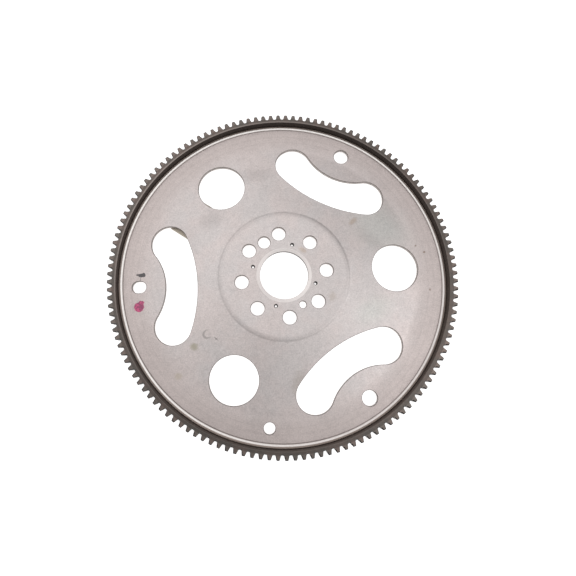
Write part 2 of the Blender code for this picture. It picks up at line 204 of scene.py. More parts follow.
def polar(radius, angle):
    return Vector((radius * math.cos(angle), radius * math.sin(angle)))


def add_object(name, data):
    item = bpy.data.objects.new(name, data)
    bpy.context.scene.collection.objects.link(item)
    return item


# Camera at the photograph's place: above the plate and towards its lower edge
CAMERA_PLACE = Vector((-19.9, -69.1, 336.8)) * MM
CAMERA_RIGHT = Vector((0.99975, 0.00127, 0.02230))
CAMERA_UP = Vector((-0.00528, 0.98465, 0.17449))
CAMERA_LENS = 25.28
CAMERA_SENSOR = 36.0
IMAGE_SIZE = 576.0
CAMERA_SHIFT = (19.28 / IMAGE_SIZE, 0.58 / IMAGE_SIZE)
CAMERA_CLIP = (0.01, 50.0)


def make_camera():
    data = bpy.data.cameras.new("camera")
    data.lens = CAMERA_LENS
    data.sensor_width = CAMERA_SENSOR
    data.shift_x, data.shift_y = CAMERA_SHIFT
    data.clip_start, data.clip_end = CAMERA_CLIP
    camera = add_object("camera", data)
    right = CAMERA_RIGHT.normalized()
    up = (CAMERA_UP - right * CAMERA_UP.dot(right)).normalized()
    turn = Matrix((right, up, right.cross(up))).transposed()
    camera.matrix_world = Matrix.Translation(CAMERA_PLACE) @ turn.to_4x4()
    bpy.context.scene.camera = camera


# Studio: a white floor and large soft lights
FLOOR_SIZE = 6.0
FLOOR_DROP = 0.05 * MM
WHITE = (1.0, 1.0, 1.0, 1.0)
FLOOR_LOOK = {
    "Base Color": (0.86, 0.86, 0.86, 1.0),
    "Roughness": 0.9,
    "Specular IOR Level": 0.0,
    "Emission Color": WHITE,
    "Emission Strength": 0.62,
}
WORLD_STRENGTH = 1.045
# Darker parts of the room: direction, cosine at its edge, share of the light that is missing in its middle
ROOM_SHADES = (
    ((0.628, 0.735, 0.256), 0.698, 0.968),
    ((-0.054, -0.397, 0.916), 0.859, 0.538),
)
# Soft lights: name, place, width, power
LIGHTS = (
    ("left", (-0.292, 0.491, 1.917), 0.905, 0.81),
    ("right", (1.334, -0.357, 1.447), 1.565, 3.48),
)


def make_light(name, place, size, power):
    data = bpy.data.lights.new(name, "AREA")
    data.shape = "DISK"
    data.size = size
    data.energy = power
    light = add_object(name, data)
    light.location = place
    light.rotation_euler = (-Vector(place)).to_track_quat("-Z", "Y").to_euler()


def make_floor():
    mesh = bpy.data.meshes.new("floor")
    half = FLOOR_SIZE / 2.0
    corners = [(-half, -half, 0.0), (half, -half, 0.0), (half, half, 0.0), (-half, half, 0.0)]
    mesh.from_pydata(corners, [], [(0, 1, 2, 3)])
    floor = add_object("floor", mesh)
    floor.location.z = -FLOOR_DROP
    material = bpy.data.materials.new("white floor")
    material.use_nodes = True
    shader = material.node_tree.nodes["Principled BSDF"]
    for name, value in FLOOR_LOOK.items():
        shader.inputs[name].default_value = value
    mesh.materials.append(material)


def shade_room(background, nodes):
    """The room's light, weaker around some directions."""
    direction = nodes.node("ShaderNodeTexCoord").outputs["Generated"]
    level = WORLD_STRENGTH
    for away, edge, missing in ROOM_SHADES:
        along = nodes.node("ShaderNodeVectorMath", operation="DOT_PRODUCT")
        nodes.set(along.inputs[0], direction)
        nodes.set(along.inputs[1], Vector(away).normalized())
        level = nodes.times(level, nodes.remap(along.outputs["Value"], edge, 1.0, 1.0, 1.0 - missing))
    nodes.set(background.inputs["Strength"], level)


def make_studio():
    scene = bpy.context.scene
    scene.view_settings.view_transform = "Standard"
    scene.view_settings.look = "None"
    world = bpy.data.worlds.new("studio")
    world.use_nodes = True
    background = world.node_tree.nodes["Background"]
    background.inputs["Color"].default_value = WHITE
    shade_room(background, Nodes(world.node_tree))
    scene.world = world
    make_floor()
    for light in LIGHTS:
        make_light(*light)


# Section of the plate
def facing(radius, height, out, up):
    """A point of a section with its unit normal."""
    return Vector((radius, height)), Vector((out, up)).normalized()


def rounded_path(corners, steps):
    """A path through (point, rounding) corners, as (point, normal on the left side) pairs."""
    path = []
    last = len(corners) - 1
    for index, (point, rounding) in enumerate(corners):
        point = Vector(point)
        back = (Vector(corners[max(index - 1, 0)][0]) - point).normalized()
        ahead = (Vector(corners[min(index + 1, last)][0]) - point).normalized()
        if index in (0, last):
            side = ahead if index == 0 else -back
            path.append((point, Vector((-side.y, side.x))))
            continue
        half = back.angle(ahead) / 2.0
        centre = point + (back + ahead).normalized() * rounding / math.sin(half)
        touch = rounding / math.tan(half)
        first = point + back * touch - centre
        other = point + ahead * touch - centre
        sweep = -first.angle_signed(other)
        facing = math.copysign(1.0, first.dot(Vector((back.y, -back.x))))
        for step in range(steps + 1):
            spoke = Matrix.Rotation(sweep * step / steps, 2) @ first
            path.append((centre + spoke, spoke.normalized() * facing))
    return path


def sheet_corners(rim_rounding):
    """Corners of the sheet's front face from the bore to the end of the flange, each with its rounding."""
    return [
        (Vector((BORE_RADIUS, HUB_Z)), 0.0),
        (Vector((HUB_RADIUS, HUB_Z)), HUB_EDGE_ROUNDING),
        (Vector((STEP_FOOT_RADIUS, STEP_FOOT_Z)), STEP_FOOT_ROUNDING),
        (Vector((CONE_RADIUS, RIM_Z)), CONE_ROUNDING),
        (Vector((FLANGE_RADIUS, RIM_Z)), rim_rounding),
        (Vector((FLANGE_RADIUS, 0.0)), 0.0),
    ]


def moved_inward(corners, distance):
    """The corners moved to the right of the path's direction, each with the same rounding."""
    moved = []
    last = len(corners) - 1
    for index, (point, rounding) in enumerate(corners):
        before = (point - corners[index - 1][0]).normalized() if index else None
        after = (corners[index + 1][0] - point).normalized() if index < last else None
        before = before or after
        after = after or before
        normals = [Vector((side.y, -side.x)) for side in (before, after)]
        middle = (normals[0] + normals[1]).normalized()
        moved.append((point + middle * distance / middle.dot(normals[0]), rounding))
    return moved


def front_path():
    return rounded_path(sheet_corners(RIM_BEND_RADIUS), ARC_STEPS)


def back_path():
    path = rounded_path(moved_inward(sheet_corners(RIM_INSIDE_RADIUS), SHEET_THICKNESS), ARC_STEPS)
    return [(point, -normal) for point, normal in path]


class SheetSide:
    """Height and normal of one side of the sheet at a radius."""

    def __init__(self, path, sign):
        self.sign = sign
        inner = path[:-ARC_STEPS - 2]
        self.radii = [point.x for point, normal in inner] + [FIELD_OUTER_RADIUS]
        self.heights = [point.y for point, normal in inner] + [path[-ARC_STEPS - 2][0].y]
        self.leans = [normal.x for point, normal in inner] + [0.0]

    def height(self, radius):
        return float(np.interp(radius, self.radii, self.heights))

    def lean(self, radius):
        return float(np.interp(radius, self.radii, self.leans))

    def normal(self, point):
        """The unit normal over a flat (x, y) point."""
        radius = point.length
        lean = self.lean(radius)
        upright = self.sign * math.sqrt(1.0 - lean * lean)
        return Vector((point.x / radius * lean, point.y / radius * lean, upright))


# Outlines of the holes, grown by a distance into the metal
def crank_angle(index):
    turned = CRANK_OFFSET_ANGLE if index in CRANK_OFFSET_HOLES else 0.0
    return CRANK_FIRST_ANGLE + math.tau * index / CRANK_HOLE_COUNT + turned


def converter_angle(index):
    return CONVERTER_FIRST_ANGLE + math.tau * index / CONVERTER_COUNT


def round_holes():
    """Every round hole as (radius of its circle, angle, radius, stretch away from the shaft)."""
    holes = []
    for index in range(CRANK_HOLE_COUNT):
        holes.append((CRANK_CIRCLE_RADIUS, crank_angle(index), CRANK_HOLE_RADIUS, 0.0))
    relief = sum(crank_angle(index) for index in RELIEF_BETWEEN_HOLES) / len(RELIEF_BETWEEN_HOLES)
    holes.append((RELIEF_CIRCLE_RADIUS, relief, RELIEF_HOLE_RADIUS, 0.0))
    holes.append((PIN_CIRCLE_RADIUS, PIN_ANGLE, PIN_HOLE_RADIUS, 0.0))
    for index in range(TOOLING_HOLE_COUNT):
        angle = TOOLING_FIRST_ANGLE + math.tau * index / TOOLING_HOLE_COUNT
        holes.append((TOOLING_CIRCLE_RADIUS, angle, TOOLING_HOLE_RADIUS, 0.0))
    for index in range(CONVERTER_COUNT):
        angle = converter_angle(index)
        if index == CONVERTER_CLOSE_HOLE:
            holes.append((CONVERTER_CIRCLE_RADIUS, angle, CONVERTER_CLOSE_RADIUS, CONVERTER_CLOSE_STRETCH))
        else:
            holes.append((CONVERTER_CIRCLE_RADIUS, angle, CONVERTER_HOLE_RADIUS, 0.0))
        between = angle + math.pi / CONVERTER_COUNT
        holes.append((LIGHTENING_CIRCLE_RADIUS, between, LIGHTENING_HOLE_RADIUS, 0.0))
    holes.append((GAUGE_CIRCLE_RADIUS, GAUGE_ANGLE, GAUGE_HOLE_RADIUS, 0.0))
    return holes


def arc(centre, radius, grow, start, end, inward=1.0):
    """Arc points as (point, normal into the hole), with the point count set by the arc before it grows."""
    steps = max(LEAST_HOLE_STEPS, math.ceil(abs(end - start) * radius / HOLE_SIDE_LENGTH))
    points = []
    for step in range(steps + 1):
        spoke = polar(1.0, start + (end - start) * step / steps)
        points.append((Vector(centre) + spoke * (radius + grow * inward), spoke * -inward))
    return points


def hole_outline(circle, angle, radius, stretch, grow):
    """A hole's outline, anticlockwise. A stretched hole has two straight sides that point to the shaft."""
    away = polar(1.0, angle)
    centre = away * circle
    if not stretch:
        return arc(centre, radius, grow, angle, angle + math.tau)[:-1]
    quarter = math.pi / 2.0
    outer = arc(centre + away * stretch / 2.0, radius, grow, angle - quarter, angle + quarter)
    inner = arc(centre - away * stretch / 2.0, radius, grow, angle + quarter, angle + 3.0 * quarter)
    return outer + inner


def slot_outline(turn, grow):
    """A slot's outline, anticlockwise, with its middle turned to an angle."""
    inner_centre = SLOT_INNER_RADIUS + SLOT_INNER_ARC
    end_x = inner_centre - math.sqrt((SLOT_INNER_ARC - SLOT_END_RADIUS) ** 2 - SLOT_END_OFFSET ** 2)
    reach = SLOT_OUTER_RADIUS - end_x
    squares = SLOT_END_OFFSET ** 2 + reach ** 2 - SLOT_END_RADIUS ** 2
    outer_arc = squares / (2.0 * (SLOT_END_RADIUS - reach))
    outer_centre = SLOT_OUTER_RADIUS + outer_arc
    inner_half = math.atan2(SLOT_END_OFFSET, inner_centre - end_x)
    outer_half = math.atan2(SLOT_END_OFFSET, outer_centre - end_x)
    inner = arc((inner_centre, 0.0), SLOT_INNER_ARC, grow, math.pi - inner_half, math.pi + inner_half)
    low_centre = (end_x, -SLOT_END_OFFSET)
    low_end = arc(low_centre, SLOT_END_RADIUS, grow, math.pi + inner_half, math.tau + outer_half)
    outer = arc((outer_centre, 0.0), outer_arc, grow, math.pi + outer_half, math.pi - outer_half, -1.0)
    high_end = arc((end_x, SLOT_END_OFFSET), SLOT_END_RADIUS, grow, -outer_half, math.pi - inner_half)
    turned = Matrix.Rotation(turn, 2)
    outline = inner[:-1] + low_end[:-1] + outer[:-1] + high_end[:-1]
    return [(turned @ point, turned @ normal) for point, normal in outline]


def all_outlines(grow, taper):
    """The outlines of every hole. The small tooling holes are narrower by the taper."""
    outlines = []
    for circle, angle, radius, stretch in round_holes():
        narrower = taper if radius == TOOLING_HOLE_RADIUS else 0.0
        outlines.append(hole_outline(circle, angle, radius, stretch, grow - narrower))
    outlines += [slot_outline(converter_angle(index), grow) for index in range(CONVERTER_COUNT)]
    return outlines


class SheetMesh:
    """A mesh made of vertices with their own normals."""

    def __init__(self):
        self.places = []
        self.normals = []
        self.faces = []
        self.kinds = []

    def vertex(self, place, normal):
        self.places.append(tuple(place))
        self.normals.append(tuple(Vector(normal).normalized()))
        return len(self.places) - 1

    def ring(self, section, normal):
        """A full turn of one point of the section."""
        ring = []
        for side in range(TURN_SIDES):
            spoke = polar(1.0, math.tau * side / TURN_SIDES)
            place = (spoke.x * section[0], spoke.y * section[0], section[1])
            ring.append(self.vertex(place, (spoke.x * normal[0], spoke.y * normal[0], normal[1])))
        return ring

    def bridge(self, first, second, kind):
        for index in range(len(first)):
            other = (index + 1) % len(first)
            self.faces.append((first[index], first[other], second[other], second[index]))
            self.kinds.append(kind)

    def build(self, name, materials):
        mesh = bpy.data.meshes.new(name)
        mesh.from_pydata(self.places, [], self.faces)
        for material in materials:
            mesh.materials.append(material)
        mesh.polygons.foreach_set("material_index", self.kinds)
        mesh.shade_smooth()
        mesh.normals_split_custom_set_from_vertices(self.normals)
        return add_object(name, mesh)


def inside_outline(points, outline):
    """Which of the flat points lie inside a closed outline."""
    edges = np.array([tuple(point) for point in outline])
    following = np.roll(edges, -1, axis=0)
    x = points[:, 0:1]
    y = points[:, 1:2]
    crosses = (edges[:, 1] > y) != (following[:, 1] > y)
    rise = following[:, 1] - edges[:, 1]
    rise[rise == 0.0] = 1e-12
    meets = edges[:, 0] + (y - edges[:, 1]) * (following[:, 0] - edges[:, 0]) / rise
    return (np.sum(crosses & (x < meets), axis=1) % 2) == 1


def field_points(side, holes):
    """Loose points that follow the curve of the sheet between the holes."""
    radii = list(np.arange(FIELD_INNER_RADIUS + FIELD_SPACING, FIELD_OUTER_RADIUS, FIELD_SPACING))
    radii += [radius for radius in side.radii if FIELD_INNER_RADIUS < radius < FIELD_OUTER_RADIUS]
    points = []
    for count, radius in enumerate(sorted(radii)):
        sides = math.ceil(math.tau * radius / FIELD_SPACING)
        shift = 0.5 * (count % 2)
        points += [tuple(polar(radius, math.tau * (index + shift) / sides)) for index in range(sides)]
    points = np.array(points)
    edges = np.array([tuple(point) for hole in holes for point in hole])
    squares = np.array([np.min(np.sum((edges - point) ** 2, axis=1)) for point in points])
    near = squares < FIELD_CLEARANCE ** 2
    for hole in holes:
        near |= inside_outline(points, hole)
    return [Vector(point) for point in points[~near]]


def fill_field(sheet, side, inner_ring, outer_ring, outlines, loops):
    """The face between the bore and the rim, with its holes, as a constrained triangulation."""
    rings = [inner_ring, outer_ring]
    borders = [[Vector(sheet.places[index][:2]) for index in ring] for ring in rings]
    holes = [[point for point, normal in outline] for outline in outlines]
    flat = []
    known = []
    edges = []
    for border, loop in zip(borders + holes, rings + loops):
        start = len(flat)
        edges += [(start + index, start + (index + 1) % len(loop)) for index in range(len(loop))]
        flat += border
        known += loop
    loose = field_points(side, holes)
    for point in loose:
        known.append(sheet.vertex((*point, side.height(point.length)), side.normal(point)))
    places, _, triangles, origins, _, _ = delaunay_2d_cdt(flat + loose, edges, [], 0, FIELD_PRECISION)
    owner = [known[origin[0]] for origin in origins]
    totals = [sum((places[corner] for corner in face), Vector((0.0, 0.0))) for face in triangles]
    middles = np.array([tuple(total / 3.0) for total in totals])
    bad = inside_outline(middles, borders[0])
    for hole in holes:
        bad |= inside_outline(middles, hole)
    for face, drop in zip(triangles, bad):
        if not drop:
            corners = [owner[corner] for corner in face]
            sheet.faces.append(tuple(corners if side.sign > 0 else corners[::-1]))
            sheet.kinds.append(PLATE_FACE)


def hole_loops(sheet, front, back):
    """The rolled front edge, wall and broken back edge of every hole. Returns the loops of both faces."""
    levels = []
    for step in range(ROLL_STEPS + 1):
        turn = math.pi / 2.0 * step / ROLL_STEPS
        grow = EDGE_ROLL * (1.0 - math.sin(turn))
        depth = EDGE_ROLL * (1.0 - math.cos(turn))
        levels.append((front, grow, depth, turn, 0.0))
    levels.append((back, 0.0, BACK_EDGE_BREAK, math.pi / 2.0, TOOLING_TAPER))
    levels.append((back, BACK_EDGE_BREAK, 0.0, 0.0, TOOLING_TAPER))
    loops = []
    for side, grow, depth, turn, taper in levels:
        rows = []
        for outline in all_outlines(grow, taper):
            row = []
            for point, inward in outline:
                upright = side.normal(point)
                normal = upright * math.cos(turn) + Vector((*inward, 0.0)) * math.sin(turn)
                row.append(sheet.vertex((*point, side.height(point.length) - side.sign * depth), normal))
            rows.append(row)
        loops.append(rows)
    for level in range(len(loops) - 1):
        kind = ROLLED_EDGE if level < ROLL_STEPS else CUT_WALL
        for first, second in zip(loops[level], loops[level + 1]):
            sheet.bridge(first, second, kind)
    return loops[0], loops[-1]


def rim_section():
    """Section of rim, bend and flange, from the front face round to the back face, as (point, normal)."""
    section = [facing(FIELD_OUTER_RADIUS, RIM_Z, 0.0, 1.0)]
    for step in range(-GROOVE_STEPS, GROOVE_STEPS + 1):
        across = 2.0 * step / GROOVE_STEPS
        sink = GROOVE_DEPTH * math.exp(-across * across * 2.0)
        slope = across * 4.0 * sink / (GROOVE_WIDTH / 2.0)
        section.append(facing(GROOVE_RADIUS + across * GROOVE_WIDTH / 2.0, RIM_Z - sink, -slope, 1.0))
    ease_rise = BAND_RISE * BAND_EASE / BAND_WIDTH
    for side in (-1.0, 1.0):
        edge = BAND_RADIUS + side * BAND_WIDTH / 2.0
        height = RIM_Z + BAND_RISE * (0.5 + side / 2.0)
        points = [
            facing(edge + side * BAND_EASE, height, 0.0, 1.0),
            facing(edge - side * BAND_EASE, height - side * ease_rise, -BAND_RISE, BAND_WIDTH),
        ]
        section += points if side < 0.0 else points[::-1]
    rise = Vector((0.0, BAND_RISE))
    section += [(point + rise, normal) for point, normal in front_path()[-ARC_STEPS - 2:-1]]
    inner_wall = FLANGE_RADIUS - SHEET_THICKNESS
    section += [
        facing(FLANGE_RADIUS, EDGE_ROLL, 1.0, 0.0),
        facing(FLANGE_RADIUS - EDGE_ROLL, 0.0, BACK_EDGE_LEAN, -1.0),
        facing(inner_wall + BACK_EDGE_BREAK, 0.0, -BACK_EDGE_LEAN, -1.0),
        facing(inner_wall, BACK_EDGE_BREAK, -1.0, 0.0),
    ]
    section += back_path()[-ARC_STEPS - 2:-1][::-1]
    section.append(facing(FIELD_OUTER_RADIUS, RIM_Z - SHEET_THICKNESS, 0.0, -1.0))
    return section


def bore_section(back):
    """Section of the bore from the back face up through the coined ring to the front face."""
    low = back.height(BORE_RADIUS)
    coin_z = HUB_Z - COIN_DEPTH
    ease = COIN_EASE
    ease_rise = ease * COIN_DEPTH / COIN_WIDTH
    return [
        facing(BORE_RADIUS + BACK_EDGE_BREAK, low, 0.0, -1.0),
        facing(BORE_RADIUS, low + BACK_EDGE_BREAK, -1.0, 0.0),
        facing(BORE_RADIUS, coin_z - ease, -1.0, 0.0),
        facing(BORE_RADIUS + ease * 0.3, coin_z - ease * 0.25, -1.0, 1.0),
        facing(BORE_RADIUS + ease, coin_z + ease_rise, -COIN_DEPTH, COIN_WIDTH),
        facing(BORE_RADIUS + COIN_WIDTH - ease, HUB_Z - ease_rise, -COIN_DEPTH, COIN_WIDTH),
        facing(FIELD_INNER_RADIUS, HUB_Z, 0.0, 1.0),
    ]


def turned_strips(sheet, section, kinds):
    rings = [sheet.ring(point, normal) for point, normal in section]
    for index in range(len(rings) - 1):
        sheet.bridge(rings[index], rings[index + 1], kinds[index])
    return rings


def build_plate(materials):
    sheet = SheetMesh()
    front = SheetSide(front_path(), 1.0)
    back = SheetSide(back_path(), -1.0)
    rim = rim_section()
    rim_rings = turned_strips(sheet, rim[::-1], [PLATE_FACE] * (len(rim) - 1))
    bore = bore_section(back)
    bore_rings = turned_strips(sheet, bore[::-1], [PLATE_FACE] * 3 + [CUT_WALL] * 3)
    front_loops, back_loops = hole_loops(sheet, front, back)
    front_outlines = all_outlines(EDGE_ROLL, 0.0)
    back_outlines = all_outlines(BACK_EDGE_BREAK, TOOLING_TAPER)
    fill_field(sheet, front, bore_rings[0], rim_rings[-1], front_outlines, front_loops)
    fill_field(sheet, back, bore_rings[-1], rim_rings[0], back_outlines, back_loops)
    plate = sheet.build("flexplate_sheet", materials)
    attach(plate, "root")
    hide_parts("plate")


# Ring gear
def involute(angle):
    return math.tan(angle) - angle


def tooth_half_angle(radius):
    """Half the angle that a tooth fills at a radius, for an involute flank."""
    roll = math.acos(BASE_RADIUS / radius)
    return math.pi / (2.0 * TOOTH_COUNT) + involute(PRESSURE_ANGLE) - involute(roll)


def root_corner():
    """How far across the gap a root corner's arc is centred, and the flank's lean where they meet."""
    centre = ROOT_RADIUS + ROOT_ROUNDING
    lean = math.acos(BASE_RADIUS / centre) + math.pi / (2.0 * TOOTH_COUNT)
    meets = centre - ROOT_ROUNDING * math.sin(lean)
    half_gap = meets * (math.pi / TOOTH_COUNT - tooth_half_angle(meets))
    return half_gap - ROOT_ROUNDING * math.cos(lean), lean


def tooth_half(side, bevel, tip_drop, root_drop):
    """From the middle of the gap up to the tip, as (radius, angle from the tooth's middle) points."""
    across, lean = root_corner()
    centre = ROOT_RADIUS + ROOT_ROUNDING
    reach = ROOT_ROUNDING + root_drop
    points = []
    for step in range(ROOT_STEPS + 1):
        share = step / ROOT_STEPS
        turn = (math.pi / 2.0 - lean) * share
        radius = centre - reach * math.cos(turn)
        off_middle = across + reach * math.sin(turn) - bevel * share
        points.append((radius, math.pi / TOOTH_COUNT - off_middle / radius))
    start = centre - ROOT_ROUNDING * math.sin(lean)
    end = TIP_RADIUS - tip_drop - TOOTH_CORNER_ROUND
    for step in range(1, FLANK_STEPS + 1):
        radius = start + (end - start) * step / FLANK_STEPS
        points.append((radius, tooth_half_angle(radius) - bevel / radius))
    tip = TIP_RADIUS - tip_drop
    corner = tooth_half_angle(tip) - bevel / tip
    below, inward = CORNER_MIDDLE
    points.append((tip - TOOTH_CORNER_ROUND * below, corner - TOOTH_CORNER_ROUND * inward / tip))
    points.append((tip, corner - TOOTH_CORNER_ROUND / tip))
    return [(radius, side * angle) for radius, angle in points]


def tooth_outline(leading_bevel, trailing_bevel, tip_drop, root_drop):
    clockwise = tooth_half(-1.0, leading_bevel, tip_drop, root_drop)
    other = tooth_half(1.0, trailing_bevel, tip_drop, root_drop)
    return clockwise + [(TIP_RADIUS - tip_drop, 0.0)] + other[::-1]


def gear_loop(mesh_data, outline, height):
    """All teeth at one height, as a list of vertices for each tooth."""
    teeth = []
    for index in range(TOOTH_COUNT):
        middle = FIRST_TOOTH_ANGLE + math.tau * index / TOOTH_COUNT
        corners = [(*polar(radius, middle + angle), height) for radius, angle in outline]
        teeth.append([mesh_data.verts.new(corner) for corner in corners])
    return teeth


def bore_loop(mesh_data, radius, height):
    sides = TOOTH_COUNT * BORE_SIDES_PER_TOOTH
    start = FIRST_TOOTH_ANGLE - math.pi / TOOTH_COUNT
    corners = [(*polar(radius, start + math.tau * side / sides), height) for side in range(sides)]
    return [mesh_data.verts.new(corner) for corner in corners]


def bridge(mesh_data, lower, upper, kind):
    for index in range(len(lower)):
        other = (index + 1) % len(lower)
        face = mesh_data.faces.new((lower[index], lower[other], upper[other], upper[index]))
        face.material_index = kind


def end_faces(mesh_data, teeth, circle):
    """The flat end of the ring, one face for each tooth and the wall under it."""
    for index, tooth in enumerate(teeth):
        first = index * BORE_SIDES_PER_TOOTH
        under = [circle[(first + side) % len(circle)] for side in range(BORE_SIDES_PER_TOOTH + 1)]
        mesh_data.faces.new(under[::-1] + tooth + [teeth[(index + 1) % len(teeth)][0]])


def build_ring_gear(materials):
    mesh_data = bmesh.new()
    edge = TOOTH_EDGE_BREAK
    soft = FRONT_EDGE_BREAK
    lead_z = RING_FRONT_Z - TOOTH_LEAD_DEPTH
    bevels = (TOOTH_LEADING_BEVEL, TOOTH_TRAILING_BEVEL, TOOTH_TIP_BEVEL, TOOTH_ROOT_BEVEL)
    levels = [
        (RING_BACK_Z, tooth_outline(edge, edge, edge, edge)),
        (RING_BACK_Z + edge, tooth_outline(0.0, 0.0, 0.0, 0.0)),
        (lead_z, tooth_outline(0.0, 0.0, 0.0, 0.0)),
        (RING_FRONT_Z - soft, tooth_outline(*bevels)),
        (RING_FRONT_Z, tooth_outline(*(bevel + soft for bevel in bevels))),
    ]
    teeth = [gear_loop(mesh_data, outline, height) for height, outline in levels]
    loops = [[vertex for tooth in level for vertex in tooth] for level in teeth]
    for level, (lower, upper) in enumerate(zip(loops, loops[1:])):
        bridge(mesh_data, lower, upper, TOOTH_STRIPS[level])
    chamfer = RING_EDGE_CHAMFER
    bores = [
        bore_loop(mesh_data, RING_BORE_RADIUS + chamfer, RING_FRONT_Z),
        bore_loop(mesh_data, RING_BORE_RADIUS, RING_FRONT_Z - chamfer),
        bore_loop(mesh_data, RING_BORE_RADIUS, RING_BACK_Z + edge),
        bore_loop(mesh_data, RING_BORE_RADIUS + edge, RING_BACK_Z),
    ]
    for level, (upper, lower) in enumerate(zip(bores, bores[1:])):
        bridge(mesh_data, upper, lower, GEAR_BORE if level else GEAR_FACE)
    end_faces(mesh_data, teeth[-1], bores[0])
    end_faces(mesh_data, teeth[0], bores[-1])
    bmesh.ops.recalc_face_normals(mesh_data, faces=mesh_data.faces)
    ring = add_mesh("starter_ring_gear", mesh_data, materials)
    ring.data.shade_smooth()
    ring.data.set_sharp_from_angle(angle=RING_SHARP_ANGLE)
    weigh_normals(ring)
    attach(ring, "root")
    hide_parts("ring_gear")


def add_mesh(name, mesh_data, materials):
    mesh = bpy.data.meshes.new(name)
    mesh_data.to_mesh(mesh)
    mesh_data.free()
    for material in materials:
        mesh.materials.append(material)
    return add_object(name, mesh)


def weigh_normals(item):
    weighted = item.modifiers.new("large faces stay flat", "WEIGHTED_NORMAL")
    weighted.mode = "FACE_AREA"
    weighted.keep_sharp = True


# Balance weight and weld beads
def cone_height(radius):
    return STEP_FOOT_Z - math.tan(CONE_SLOPE) * (radius - STEP_FOOT_RADIUS)


def build_weight(material):
    mesh_data = bmesh.new()
    bmesh.ops.create_cube(mesh_data, size=1.0)
    bmesh.ops.scale(mesh_data, vec=(WEIGHT_WIDTH, WEIGHT_LENGTH, WEIGHT_THICKNESS), verts=mesh_data.verts)
    edges = mesh_data.edges[:]
    rounding = {"offset": WEIGHT_EDGE, "segments": WEIGHT_EDGE_SEGMENTS, "profile": 0.5}
    bmesh.ops.bevel(mesh_data, geom=edges, affect="EDGES", **rounding)
    weight = add_mesh("balance_strip", mesh_data, [material])
    weight.data.shade_smooth()
    weigh_normals(weight)
    corner_radius = math.hypot(WEIGHT_RADIUS, WEIGHT_LENGTH / 2.0)
    sag = math.tan(CONE_SLOPE) * (corner_radius - WEIGHT_RADIUS)
    depth = SHEET_THICKNESS + SEAT_GAP + sag + WEIGHT_THICKNESS / 2.0
    inward = depth * math.sin(CONE_SLOPE)
    height = cone_height(WEIGHT_RADIUS) - depth * math.cos(CONE_SLOPE)
    weight.location = (*polar(WEIGHT_RADIUS - inward, WEIGHT_ANGLE), height)
    weight.rotation_euler = (0.0, CONE_SLOPE, WEIGHT_ANGLE)
    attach(weight, "root")
    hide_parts("balance_weight")


def bead_loop(mesh_data, angle, size):
    """A rounded corner fillet: two flat legs and a full, rippled face."""
    corner_radius = FLANGE_RADIUS + SEAT_GAP
    corner_z = RING_BACK_Z - SEAT_GAP
    leg = BEAD_LEG * size
    drop = min(BEAD_LEG, corner_z - SEAT_GAP) * size
    loop = [mesh_data.verts.new((*polar(corner_radius, angle), corner_z))]
    for side in range(BEAD_SIDES + 1):
        turn = math.pi / 2.0 * side / BEAD_SIDES
        fullness = 1.0 - BEAD_HOLLOW * math.sin(2.0 * turn)
        radius = corner_radius + leg * math.sin(turn) * fullness
        height = corner_z - drop * math.cos(turn) * fullness
        loop.append(mesh_data.verts.new((*polar(radius, angle), height)))
    return loop


def build_bead(index, material):
    mesh_data = bmesh.new()
    sweep = BEAD_LENGTH / FLANGE_RADIUS
    middle = math.tau * index / BEAD_COUNT
    loops = []
    for step in range(BEAD_STEPS + 1):
        share = step / BEAD_STEPS
        along = abs(2.0 * share - 1.0)
        past = max(0.0, (along - 1.0 + BEAD_END_SHARE) / BEAD_END_SHARE)
        taper = BEAD_END_SIZE + (1.0 - BEAD_END_SIZE) * math.sqrt(max(0.0, 1.0 - past ** 2))
        wave = 0.5 - 0.5 * math.cos(math.tau * share * BEAD_LENGTH / BEAD_RIPPLE)
        size = taper * (1.0 - BEAD_RIPPLE_DEPTH * wave ** 2)
        loops.append(bead_loop(mesh_data, middle + sweep * (share - 0.5), size))
    for lower, upper in zip(loops, loops[1:]):
        bridge(mesh_data, lower, upper, 0)
    mesh_data.faces.new(loops[0])
    mesh_data.faces.new(loops[-1][::-1])
    bmesh.ops.recalc_face_normals(mesh_data, faces=mesh_data.faces)
    bead = add_mesh(f"weld_bead_{index + 1:02d}", mesh_data, [material])
    bead.data.shade_smooth()
    bead.data.set_sharp_from_angle(angle=BEAD_SHARP_ANGLE)
    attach(bead, "root")
    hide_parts(f"ring_weld_{index + 1:02d}")


# Materials
class Nodes:
    """A node graph that is written as nested calls."""

    def __init__(self, tree):
        self.tree = tree

    def node(self, kind, **settings):
        node = self.tree.nodes.new(kind)
        for name, value in settings.items():
            setattr(node, name, value)
        return node

    def set(self, socket, value):
        if isinstance(value, bpy.types.NodeSocket):
            self.tree.links.new(value, socket)
        elif isinstance(value, tuple) and len(value) == 3 and socket.type == "RGBA":
            socket.default_value = (*value, 1.0)
        else:
            socket.default_value = value

    def math(self, operation, *values):
        node = self.node("ShaderNodeMath", operation=operation)
        for socket, value in zip(node.inputs, values):
            self.set(socket, value)
        return node.outputs[0]

    def plus(self, first, second):
        return self.math("ADD", first, second)

    def times(self, first, second):
        return self.math("MULTIPLY", first, second)

    def greater(self, first, second):
        return self.math("MAXIMUM", first, second)

    def changed(self, share, change, level=1.0):
        """The level where the share is 0, and the level plus the change where it is 1."""
        return self.math("MULTIPLY_ADD", share, change, level)

    def remap(self, value, low, high, out_low=0.0, out_high=1.0):
        """A smooth step from one range to another."""
        node = self.node("ShaderNodeMapRange", interpolation_type="SMOOTHSTEP")
        for socket, number in zip(node.inputs, (value, low, high, out_low, out_high)):
            self.set(socket, number)
        return node.outputs["Result"]

    def scaled(self, vector, factor):
        """A place or a colour times a number."""
        node = self.node("ShaderNodeVectorMath", operation="SCALE")
        self.set(node.inputs[0], vector)
        self.set(node.inputs["Scale"], factor)
        return node.outputs[0]


